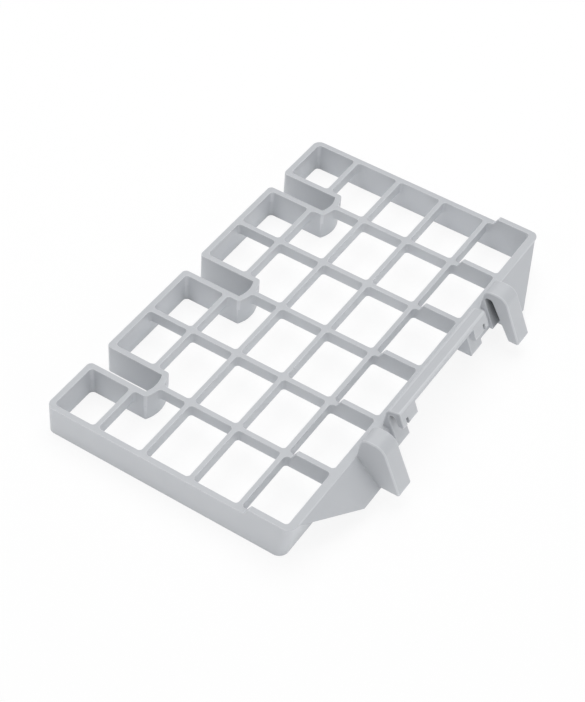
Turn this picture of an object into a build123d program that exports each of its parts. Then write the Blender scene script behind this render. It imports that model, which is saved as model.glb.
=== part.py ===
"""Dishwasher cup rack: one moulded lattice with stem slots, a tall rim and a hook rail.

Millimetres. X runs from the finger end to the hook rail, Y along the rack and Z up.
While it is built, x = 0 and y = 0 are the first pitch lines and z = 0 is the top of the low ribs.
"""
import os
from math import acos, radians, sqrt, tan

from build123d import *

# Lattice of ribs
row_pitch = 40.0
col_pitch = 27.0
row_count = 6
col_count = 5
cross_rib = 3.0
long_rib = 2.7
rib_depth = 6.6
cell_corner = 1.8

# Tall rim, with inner faces that open downwards
rim_height = 17.2
rim_wall = 3.3
rim_draft = 4.0
finger_inset = 1.05
finger_corner = 4.5
rail_corner = 5.0

# Stem slots, open at the finger end and closed by a shallow arc
slot_rows = (1, 3, 5)
slot_width = 13.0
slot_wall = 3.3
slot_past_rib = 7.2
slot_end_radius = 15.5
mouth_corner = 2.6

# Last column, stepped up to the level of the rail
step_rise = 4.2
step_run = 2.3
step_past_rib = 4.3
step_round = 0.8

# Rail on the hook side, with a wall that leans inwards going down
rail_width = 4.35
rail_lean = 9.5
rail_root = 6.0

# Raised wall and top strip that stand on the rail
wall_lean = 6.0
wall_thickness = 2.1
strip_height = 12.4
strip_reach = 8.0
strip_fall = 1.5
strip_thickness = 2.4
strip_round = 2.5
strip_lip = 1.2

# Base below the hooks and clips, with a slanted outer face
channel_lean = 24.5
base_reach = 10.4
base_drop = 10.2
base_plate = 2.6
gap_recess = 2.5

# Hooks, measured along Y from the middle of the rack
hook_outer_end = 65.6
hook_width = 11.2
hook_web = 2.5
hook_height = 12.65
hook_crown = 4.45
hook_span = 13.0
hook_drop = 13.6
hook_tip = 5.8
hook_mouth = 4.6
hook_relief = 0.7
hook_inner_round = 4.0
hook_outer_round = 7.5
hook_slot_round = 2.2
hook_edge = 0.8

# Snap clips, measured along Y from the middle of the rack
clip_inner_end = 28.8
clip_width = 13.3
clip_drop = 8.9
clip_tongue = 4.1
clip_crown = 4.0
clip_knee = 1.889
clip_tip_round = 1.5
clip_snap_round = 1.2
clip_channel_round = 1.6
clip_edge = 0.7
clip_base_short = 2.4
slit_from_middle = 37.85
slit_width = 1.7
slit_height = 4.2

# Corner flaps, between the hooks and the ends of the rail
flap_reach = 14.4
flap_fall = 14.2
flap_thickness = 2.5
flap_setback = 5.7
flap_foot = 14.4

edge_round = 0.5
cut_margin = 1.0
round_share = 0.48

# Places worked out from the sizes above
length = row_count * row_pitch
middle_y = length / 2
front_y = -rim_wall / 2
back_y = length + rim_wall / 2
finger_x = finger_inset - rim_wall / 2
rail_in = col_count * col_pitch - long_rib / 2
rail_out = rail_in + rail_width
rail_top = step_rise
step_x = (col_count - 1) * col_pitch + step_past_rib
base_bottom = rail_top - base_drop
strip_top = rail_top + strip_height
strip_edge = rail_out + strip_reach
hook_top = rail_top + hook_height
hook_bottom = rail_top - hook_drop
slot_top = hook_top - hook_crown
tongue_bottom = strip_top - clip_drop
channel_top = strip_top - clip_crown
knee_z = channel_top - clip_knee
lean = tan(radians(channel_lean))
root_x = rail_out + base_reach - base_drop * lean - gap_recess


def wall_x(z):
    """Outer face of the leaning wall below the rail."""
    return rail_out - (rail_top - z) * tan(radians(rail_lean))


def raised_x(z):
    """Inner face of the raised wall on the rail."""
    return rail_out + (z - rail_top) * tan(radians(wall_lean))


def base_x(z):
    """Slanted outer face of the base below the hooks and clips."""
    return rail_out + base_reach - (z - base_bottom) * lean


def tongue_x(z):
    """Slanted outer face of the clip tongue."""
    return strip_edge + (strip_top - z) * lean


def leg_x(z):
    """Slanted outer face of the hook's leg."""
    return base_x(z) + hook_span


def rounded(corners):
    """Closed outline through (u, v, radius) corners; a radius is limited by the sides it lies between."""
    points = [Vector(u, v) for u, v, radius in corners]
    radii = []
    for i, (u, v, radius) in enumerate(corners):
        before = points[i - 1] - points[i]
        after = points[(i + 1) % len(points)] - points[i]
        half_angle = acos(before.dot(after) / (before.length * after.length)) / 2
        side = min(before.length, after.length)
        radii.append(min(radius, round_share * side * tan(half_angle)))
    return make_face(FilletPolyline(*points, radius=radii, close=True))


def along_y(corners, y_from, y_to):
    """Solid with a rounded XZ outline, from y_from to y_to."""
    plane = Plane(origin=(0, y_from, 0), x_dir=(1, 0, 0), z_dir=(0, -1, 0))
    return extrude(plane * rounded(corners), amount=y_from - y_to)


def sharp(*points):
    """Corners with no radius."""
    return [(u, v, 0) for u, v in points]


def slot_plan(row, grow):
    """Plan of a stem slot, with its sides and end moved out by grow."""
    half = slot_width / 2 + grow
    radius = slot_end_radius + grow
    centre = col_pitch + slot_past_rib - slot_end_radius
    corner = centre + sqrt(radius**2 - half**2)
    mouth = finger_x - cut_margin
    sides = Polyline((corner, -half), (mouth, -half), (mouth, half), (corner, half))
    end = ThreePointArc((corner, half), (centre + radius, 0), (corner, -half))
    return Pos(0, row * row_pitch) * make_face(Curve() + [sides, end])


def rectangle(x_from, x_to, y_from, y_to):
    """Plan rectangle between two corners."""
    centre = Pos((x_from + x_to) / 2, (y_from + y_to) / 2)
    return centre * Rectangle(x_to - x_from, y_to - y_from)


def interior_plan():
    """Plan of the space inside the rim and round the stem slots."""
    plan = rectangle(finger_x + rim_wall, rail_in, front_y + rim_wall, back_y - rim_wall)
    for row in slot_rows:
        plan -= slot_plan(row, slot_wall)
    return plan


def blank():
    """Outer form: stepped top, leaning rail side, stem slots and rounded upright corners."""
    outline = [
        (finger_x, -rim_height, 0),
        (wall_x(-rim_height), -rim_height, 0),
        (rail_out, rail_top, 0),
        (step_x + step_run, rail_top, step_round),
        (step_x, 0, step_round),
        (finger_x, 0, 0),
    ]
    body = along_y(outline, front_y, back_y)
    rail_face = body.faces().sort_by(Axis.X)[-1]
    body = fillet(rail_face.edges().filter_by(Axis.Y, reverse=True), rail_corner)
    finger_face = body.faces().sort_by(Axis.X)[0]
    body = fillet(finger_face.edges().filter_by(Axis.Z), finger_corner)
    for row in slot_rows:
        slot = extrude(slot_plan(row, 0), amount=rim_height + 2 * cut_margin)
        body -= Pos(0, 0, -rim_height - cut_margin) * slot
    mouths = body.faces().filter_by(Plane.YZ).group_by(Axis.X)[0]
    uprights = ShapeList([e for face in mouths for e in face.edges().filter_by(Axis.Z)])
    ends = (front_y + 2 * finger_corner, back_y - 2 * finger_corner)
    return fillet(uprights.filter_by_position(Axis.Y, *ends), mouth_corner)


def hollow():
    """Space below the ribs, inside the drafted rim and the leaning rail wall."""
    depth = rim_height - rib_depth + cut_margin
    plan = interior_plan()
    plan = fillet(plan.vertices(), cell_corner).face()
    space = Pos(0, 0, -rib_depth) * extrude(plan, amount=depth, dir=(0, 0, -1), taper=-rim_draft)
    low = -rib_depth - depth
    inside = sharp(
        (finger_x, -rib_depth),
        (finger_x, low),
        (rail_in - depth * tan(radians(rail_lean)), low),
        (rail_in, -rib_depth),
    )
    return space & along_y(inside, front_y, back_y)


def cells():
    """Openings between the ribs, with rounded corners."""
    plan = interior_plan()
    for column in range(1, col_count):
        x = column * col_pitch
        plan -= rectangle(x - long_rib / 2, x + long_rib / 2, front_y, back_y)
    for row in range(1, row_count):
        y = row * row_pitch
        plan -= rectangle(finger_x, rail_in, y - cross_rib / 2, y + cross_rib / 2)
    plan = fillet(plan.vertices(), cell_corner)
    return Pos(0, 0, -rib_depth) * extrude(plan, amount=rib_depth + rail_top + cut_margin)


def strip_outline():
    """Raised wall and top strip in section."""
    top = strip_top - strip_fall
    under = top - strip_thickness
    return [
        (rail_out - edge_round, rail_top - edge_round, 0),
        (rail_out, rail_top, 0),
        (raised_x(top), top, strip_round),
        (strip_edge, strip_top, strip_lip),
        (tongue_x(strip_top - strip_thickness), strip_top - strip_thickness, edge_round),
        (raised_x(under) + wall_thickness, under, strip_round - edge_round),
        (root_x, rail_top, 0),
    ]


def root_outline():
    """Foot that carries the raised wall on the rail's outer face, in section."""
    return sharp(
        (rail_in, rail_top),
        (root_x, rail_top),
        (root_x, rail_top - strip_thickness),
        (wall_x(rail_top - rail_root) - edge_round, rail_top - rail_root),
    )


def base_outline(top, recess):
    """Base in section, up to the level top, with its outer face set back by recess."""
    return [
        (wall_x(base_bottom) - edge_round, base_bottom, 0),
        (base_x(base_bottom) - recess, base_bottom, edge_round),
        (base_x(top) - recess, top, 0),
        (rail_out - edge_round, top, 0),
    ]


def pocket_outline():
    """Core that leaves the base hollow from below, in section."""
    set_in = gap_recess + base_plate
    low = base_bottom - cut_margin
    top = rail_top - strip_thickness
    return [
        (wall_x(low), low, 0),
        (base_x(low) - set_in, low, 0),
        (base_x(top) - set_in, top, edge_round),
        (wall_x(top), top, edge_round),
    ]


def tongue_outline():
    """Clip tongue in section, hung from the outer edge of the top strip."""
    strip_middle = strip_top - strip_thickness / 2
    return [
        (strip_edge, strip_top, strip_lip),
        (tongue_x(tongue_bottom), tongue_bottom, clip_tip_round),
        (tongue_x(tongue_bottom) - clip_tongue, tongue_bottom, clip_snap_round),
        (tongue_x(strip_middle) - clip_tongue, strip_middle, 0),
    ]


def clip_outline():
    """Clip in section: raised wall, top, tongue, round-ended channel and slanted base in one outline."""
    top = strip_top - strip_fall
    knee_x = base_x(knee_z)
    return [
        (wall_x(base_bottom) - edge_round, base_bottom, 0),
        (rail_out - edge_round, rail_top - edge_round, 0),
        (rail_out, rail_top, 0),
        (raised_x(top), top, strip_round),
        (strip_edge, strip_top, strip_lip),
        (tongue_x(tongue_bottom), tongue_bottom, clip_tip_round),
        (tongue_x(tongue_bottom) - clip_tongue, tongue_bottom, clip_snap_round),
        (tongue_x(channel_top) - clip_tongue, channel_top, clip_channel_round),
        (knee_x + clip_knee * tan(radians(wall_lean)), channel_top, clip_channel_round),
        (knee_x, knee_z, 0),
        (base_x(base_bottom), base_bottom, 2 * edge_round),
    ]


def slit_outline():
    """Slit through the clip tongue in section."""
    top = tongue_bottom + slit_height
    low = tongue_bottom - cut_margin
    inner = clip_tongue + cut_margin
    return sharp(
        (tongue_x(top) - inner, top),
        (tongue_x(top) + cut_margin, top),
        (tongue_x(low) + cut_margin, low),
        (tongue_x(low) - inner, low),
    )


def hook_outline():
    """Hook in section without its slot."""
    return [
        (wall_x(hook_bottom) - edge_round, hook_bottom, 0),
        (rail_out - edge_round, rail_top - edge_round, 0),
        (rail_out, rail_top, 0),
        (raised_x(hook_top), hook_top, hook_inner_round),
        (leg_x(hook_top), hook_top, hook_outer_round),
        (leg_x(hook_bottom), hook_bottom, 2 * edge_round),
    ]


def hook_slot_outline():
    """Wire slot of the hook in section, with the open space below the base."""
    inner = base_x(slot_top) - hook_relief
    low = hook_bottom - cut_margin
    return [
        (inner, slot_top, hook_slot_round),
        (inner + hook_mouth, slot_top, hook_slot_round),
        (leg_x(hook_bottom) - hook_tip, hook_bottom, 0),
        (leg_x(hook_bottom) - hook_tip, low, 0),
        (wall_x(low) - 2 * edge_round, low, 0),
        (wall_x(base_bottom) - 2 * edge_round, base_bottom, 0),
        (base_x(base_bottom) - hook_relief, base_bottom, edge_round),
    ]


def flap(hook_y):
    """Corner flap of the front end: a plate that slopes down and out from the rail to its foot."""
    slope = sqrt(flap_reach**2 + flap_fall**2)
    face = Plane(
        origin=(rail_out, 0, rail_top),
        x_dir=(flap_reach, 0, -flap_fall),
        z_dir=(flap_fall, 0, flap_reach),
    )
    outline = Polyline(
        (0, front_y + flap_setback),
        (slope, hook_y - flap_foot),
        (slope, hook_y + hook_web),
        (0, hook_y + hook_web),
        close=True,
    )
    return extrude(face * make_face(outline), amount=-flap_thickness)


def fittings():
    """Flap, hook, base and clip of the front half of the rail."""
    hook_y = middle_y - hook_outer_end
    gap_y = hook_y + hook_width
    clip_y = middle_y - clip_inner_end - clip_width
    clip_end = middle_y - clip_inner_end
    base_end = clip_end - clip_base_short
    slit_y = middle_y - slit_from_middle - slit_width / 2

    hook = along_y(hook_outline(), hook_y, gap_y)
    ends = hook.faces().filter_by(Plane.XZ).edges()
    hook = fillet(ends.filter_by_position(Axis.X, rail_out, leg_x(hook_bottom)), hook_edge)
    hook -= along_y(hook_slot_outline(), hook_y + hook_web, gap_y + cut_margin)
    bridge = along_y(base_outline(rail_top, gap_recess), gap_y, clip_y)
    clip = along_y(clip_outline(), clip_y, base_end)
    near = clip.faces().sort_by(Axis.Y)[0].edges()
    near_round = min(clip_edge, round_share * (base_x(knee_z) - raised_x(knee_z)))
    clip = fillet(near.filter_by_position(Axis.X, rail_out, tongue_x(tongue_bottom)), near_round)
    tongue = along_y(tongue_outline(), (clip_y + base_end) / 2, clip_end)
    slit = along_y(slit_outline(), slit_y, slit_y + slit_width)
    pocket = along_y(pocket_outline(), hook_y + hook_web, base_end - base_plate)
    group = hook + bridge + clip + tongue + flap(hook_y)
    return group - slit - pocket


def cup_rack():
    """The whole moulding, with its origin at the bottom centre of its box."""
    rack = blank() - hollow() - cells()
    foot_y = middle_y - hook_outer_end
    strip_y = middle_y - clip_inner_end - clip_width / 2
    root_end = foot_y + hook_width
    front = fittings()
    rack += along_y(root_outline(), root_end, length - root_end)
    rack += along_y(strip_outline(), strip_y, length - strip_y)
    rack += front
    rack += mirror(front, about=Plane(origin=(0, middle_y, 0), z_dir=(0, 1, 0)))
    box = rack.bounding_box()
    return Pos(-box.center().X, -box.center().Y, -box.min.Z) * rack


os.makedirs("parts", exist_ok=True)
export_step(cup_rack(), "parts/cup_rack.step")
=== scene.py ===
import math

import bmesh
import bpy
from mathutils import Matrix, Vector


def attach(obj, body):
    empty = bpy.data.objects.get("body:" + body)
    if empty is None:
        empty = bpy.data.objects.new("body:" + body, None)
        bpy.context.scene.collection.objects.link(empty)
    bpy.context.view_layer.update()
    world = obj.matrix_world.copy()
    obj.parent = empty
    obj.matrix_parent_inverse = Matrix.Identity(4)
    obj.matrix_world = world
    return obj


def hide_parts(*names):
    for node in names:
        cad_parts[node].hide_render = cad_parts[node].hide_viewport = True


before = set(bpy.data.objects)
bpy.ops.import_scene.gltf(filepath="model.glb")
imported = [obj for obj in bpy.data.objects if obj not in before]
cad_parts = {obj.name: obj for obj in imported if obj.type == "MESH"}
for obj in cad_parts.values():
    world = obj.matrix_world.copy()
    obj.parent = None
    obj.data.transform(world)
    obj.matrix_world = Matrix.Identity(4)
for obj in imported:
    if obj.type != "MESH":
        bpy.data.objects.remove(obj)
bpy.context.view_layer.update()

# Rounding of the moulding's outward edges, in metres
edge_radius = 0.0004
edge_steps = 3
round_profile = 0.5
crease_angle = math.radians(28)
flat_angle = math.radians(0.6)
weld_distance = 0.00006
lowest_rounded = -0.05
strip_width = 0.0005
least_turn = math.radians(6)
# Name of the mark on rounded faces, which carry a painted highlight
highlight_mark = "rounded_edge_highlight"

# Light grey plastic
plastic_grey = (0.556, 0.574, 0.602)
plastic_pale = (0.580, 0.597, 0.622)
# Painted highlight: the paler grey of rounded edges that catch the light
painted_edge_highlight = (0.660, 0.676, 0.704)
# Painted shade: the near black laid into crevices where shade falls
painted_crevice_shade = (0.012, 0.012, 0.016)
plastic_roughness = (0.31, 0.42)
plastic_index = 1.49
plastic_gloss = 0.45

# Scale, detail and roughness of the plastic's clouds, sheen and grain
cloud_noise = (34.0, 3.0, 0.55)
sheen_noise = (160.0, 2.0, 0.5)
grain_noise = (2600.0, 2.0, 0.6)
noise_middle = (0.3, 0.7)
grain_strength = 0.12
grain_height = 0.00008

# Painted shade in crevices, and a painted highlight on rounded edges only where they face open space: how
# far the crevice test reaches, in metres, and the shares of open space that count as dark and as open
crevice_reach = 0.012
crevice_rays = 12
crevice_shade_range = (0.06, 0.36)
highlight_open_range = (0.55, 0.85)

# White floor: what the camera sees of it, and what it returns to the rack
floor_half = 4.0
floor_white = 0.86
floor_shadow = 0.15
floor_return = 0.90
floor_fill = 0.35

# Studio light: place and size of each lamp in metres, and its power in watts
sky_light = 0.42
lamps = {
    "overhead_soft_box": ((-0.25, 0.45, 1.4), (1.4, 1.4), 12.0),
    "rail_side_soft_box": ((1.5, -0.2, 0.7), (1.2, 1.0), 4.0),
    "finger_side_lamp": ((-0.50, -1.05, 0.90), (0.35, 0.35), 1.6),
}

# Camera: place in metres, film and lens in millimetres
camera_place = Vector((0.2878, -0.5481, 0.6466))
camera_turn = math.radians(29.17)
camera_dip = math.radians(46.31)
camera_roll = math.radians(4.80)
film_width = 36.0
lens_length = 108.8
nearest_seen = 0.01
furthest_seen = 50.0


def is_small_rounding(face):
    """A narrow strip of a rounding that the moulding brings with it."""
    longest = max(edge.calc_length() for edge in face.edges)
    turn = max(edge.calc_face_angle(0.0) for edge in face.edges)
    return face.calc_area() < strip_width * longest and least_turn < turn < crease_angle


def is_outward_crease(edge):
    """A sharp outward edge that doesn't face down."""
    return (
        edge.calc_face_angle() > crease_angle
        and edge.is_convex
        and min(face.normal.z for face in edge.link_faces) > lowest_rounded
    )


def soft_edged_moulding(node, name):
    """The moulding with its outward edges rounded; inward edges and those that face down stay sharp."""
    shape = bmesh.new()
    shape.from_mesh(node.data)
    bmesh.ops.remove_doubles(shape, verts=shape.verts, dist=weld_distance)
    bmesh.ops.dissolve_limit(shape, angle_limit=flat_angle, verts=shape.verts, edges=shape.edges)
    # Rounded faces are marked to carry a painted highlight
    highlight_layer = shape.faces.layers.float.new(highlight_mark)
    rounds = bmesh.ops.bevel(
        shape,
        geom=[edge for edge in shape.edges if is_outward_crease(edge)],
        affect="EDGES",
        offset=edge_radius,
        segments=edge_steps,
        profile=round_profile,
    )["faces"]
    for face in rounds + [face for face in shape.faces if is_small_rounding(face)]:
        face[highlight_layer] = 1.0
    bmesh.ops.triangulate(shape, faces=[face for face in shape.faces if len(face.verts) > 4])
    for face in shape.faces:
        face.smooth = True
    for edge in shape.edges:
        edge.smooth = edge.calc_face_angle(0.0) < crease_angle
    mesh = bpy.data.meshes.new(name)
    shape.to_mesh(mesh)
    shape.free()
    moulding = bpy.data.objects.new(name, mesh)
    bpy.context.scene.collection.objects.link(moulding)
    even = moulding.modifiers.new("even_shading", "WEIGHTED_NORMAL")
    even.keep_sharp = True
    return moulding


def noise(tree, coordinates, sizes):
    """Noise of a given scale, detail and roughness."""
    node = tree.nodes.new("ShaderNodeTexNoise")
    for socket, size in zip(("Scale", "Detail", "Roughness"), sizes):
        node.inputs[socket].default_value = size
    tree.links.new(coordinates, node.inputs["Vector"])
    return node.outputs["Fac"]


def spread(tree, value, taken, given=(0.0, 1.0)):
    """The value with the range taken stretched to the range given."""
    node = tree.nodes.new("ShaderNodeMapRange")
    for socket, limit in zip(("From Min", "From Max", "To Min", "To Max"), taken + given):
        node.inputs[socket].default_value = limit
    tree.links.new(value, node.inputs["Value"])
    return node.outputs["Result"]


def blend(tree, share, first, second):
    """A colour between two, each of them a fixed colour or the output of a node."""
    node = tree.nodes.new("ShaderNodeMix")
    node.data_type = "RGBA"
    colours = [socket for socket in node.inputs if socket.type == "RGBA"]
    for socket, colour in zip(colours, (first, second)):
        if isinstance(colour, tuple):
            socket.default_value = (*colour, 1.0)
        else:
            tree.links.new(colour, socket)
    tree.links.new(share, node.inputs["Factor"])
    return next(socket for socket in node.outputs if socket.type == "RGBA")


def product(tree, first, second):
    node = tree.nodes.new("ShaderNodeMath")
    node.operation = "MULTIPLY"
    tree.links.new(first, node.inputs[0])
    tree.links.new(second, node.inputs[1])
    return node.outputs["Value"]


def grey_plastic():
    """Satin polypropylene: faint clouds, a painted highlight on rounded edges, painted shade in crevices,
    fine grain, uneven sheen from roughness.
    """
    material = bpy.data.materials.new("grey_plastic")
    material.use_nodes = True
    tree = material.node_tree
    surface = tree.nodes["Principled BSDF"]
    place = tree.nodes.new("ShaderNodeTexCoord").outputs["Object"]

    clouds = spread(tree, noise(tree, place, cloud_noise), noise_middle)
    clouded = blend(tree, clouds, plastic_grey, plastic_pale)
    # Painted shade: ambient occlusion darkens the colour towards near black in crevices
    crevice = tree.nodes.new("ShaderNodeAmbientOcclusion")
    crevice.samples = crevice_rays
    crevice.inputs["Distance"].default_value = crevice_reach
    openness = crevice.outputs["AO"]
    # Painted highlight: rounded faces that face open space turn paler
    rounded = tree.nodes.new("ShaderNodeAttribute")
    rounded.attribute_name = highlight_mark
    highlight_share = product(tree, rounded.outputs["Fac"], spread(tree, openness, highlight_open_range))
    highlighted = blend(tree, highlight_share, clouded, painted_edge_highlight)
    painted_shade_share = spread(tree, openness, crevice_shade_range, (1.0, 0.0))
    tree.links.new(blend(tree, painted_shade_share, highlighted, painted_crevice_shade), surface.inputs["Base Color"])

    sheen = spread(tree, noise(tree, place, sheen_noise), noise_middle, plastic_roughness)
    tree.links.new(sheen, surface.inputs["Roughness"])

    grain = tree.nodes.new("ShaderNodeBump")
    grain.inputs["Strength"].default_value = grain_strength
    grain.inputs["Distance"].default_value = grain_height
    tree.links.new(noise(tree, place, grain_noise), grain.inputs["Height"])
    tree.links.new(grain.outputs["Normal"], surface.inputs["Normal"])
    surface.inputs["IOR"].default_value = plastic_index
    surface.inputs["Specular IOR Level"].default_value = plastic_gloss
    return material


def glow_and_grey(tree, strength, grey):
    """A white glow on top of a plain grey that takes shadows."""
    glow = tree.nodes.new("ShaderNodeEmission")
    glow.inputs["Color"].default_value = (1.0, 1.0, 1.0, 1.0)
    glow.inputs["Strength"].default_value = strength
    plain = tree.nodes.new("ShaderNodeBsdfDiffuse")
    plain.inputs["Color"].default_value = (grey, grey, grey, 1.0)
    both = tree.nodes.new("ShaderNodeAddShader")
    tree.links.new(glow.outputs["Emission"], both.inputs[0])
    tree.links.new(plain.outputs["BSDF"], both.inputs[1])
    return both.outputs["Shader"]


def white_floor():
    """A white sweep that shows the shadow of the rack faintly."""
    material = bpy.data.materials.new("white_floor")
    material.use_nodes = True
    tree = material.node_tree
    tree.nodes.clear()
    output = tree.nodes.new("ShaderNodeOutputMaterial")
    choice = tree.nodes.new("ShaderNodeMixShader")
    seen = tree.nodes.new("ShaderNodeLightPath").outputs["Is Camera Ray"]
    tree.links.new(seen, choice.inputs["Fac"])
    tree.links.new(glow_and_grey(tree, floor_fill, floor_return), choice.inputs[1])
    tree.links.new(glow_and_grey(tree, floor_white, floor_shadow), choice.inputs[2])
    tree.links.new(choice.outputs["Shader"], output.inputs["Surface"])
    return material


def floor():
    mesh = bpy.data.meshes.new("floor")
    half = floor_half
    corners = [(-half, -half, 0), (half, -half, 0), (half, half, 0), (-half, half, 0)]
    mesh.from_pydata(corners, [], [(0, 1, 2, 3)])
    plane = bpy.data.objects.new("floor", mesh)
    plane.data.materials.append(white_floor())
    bpy.context.scene.collection.objects.link(plane)


def soft_lamp(name, place, size, power):
    """A rectangular lamp that is aimed at the middle of the rack's base."""
    lamp = bpy.data.lights.new(name, "AREA")
    lamp.shape = "RECTANGLE"
    lamp.size, lamp.size_y = size
    lamp.energy = power
    holder = bpy.data.objects.new(name, lamp)
    holder.location = place
    holder.rotation_euler = (-Vector(place)).to_track_quat("-Z", "Y").to_euler()
    bpy.context.scene.collection.objects.link(holder)


def studio():
    world = bpy.data.worlds.new("studio")
    bpy.context.scene.world = world
    world.use_nodes = True
    sky = world.node_tree.nodes["Background"]
    sky.inputs["Color"].default_value = (1.0, 1.0, 1.0, 1.0)
    sky.inputs["Strength"].default_value = sky_light
    for name, (place, size, power) in lamps.items():
        soft_lamp(name, place, size, power)


def camera():
    """The camera at the photograph's viewing angle."""
    lens = bpy.data.cameras.new("camera")
    lens.sensor_fit = "HORIZONTAL"
    lens.sensor_width = film_width
    lens.lens = lens_length
    lens.clip_start = nearest_seen
    lens.clip_end = furthest_seen
    stand = bpy.data.objects.new("camera", lens)
    level = math.cos(camera_dip)
    ahead = Vector(
        (-math.sin(camera_turn) * level, math.cos(camera_turn) * level, -math.sin(camera_dip))
    )
    right = ahead.cross(Vector((0, 0, 1))).normalized()
    up = right.cross(ahead)
    across = right * math.cos(camera_roll) + up * math.sin(camera_roll)
    upward = up * math.cos(camera_roll) - right * math.sin(camera_roll)
    turn = Matrix((across, upward, -ahead)).transposed().to_4x4()
    stand.matrix_world = Matrix.Translation(camera_place) @ turn
    bpy.context.scene.collection.objects.link(stand)
    bpy.context.scene.camera = stand


rack = soft_edged_moulding(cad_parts["cup_rack"], "rack_moulding")
rack.data.materials.append(grey_plastic())
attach(rack, "root")
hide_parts("cup_rack")
floor()
studio()
camera()
bpy.context.scene.view_settings.view_transform = "Standard"
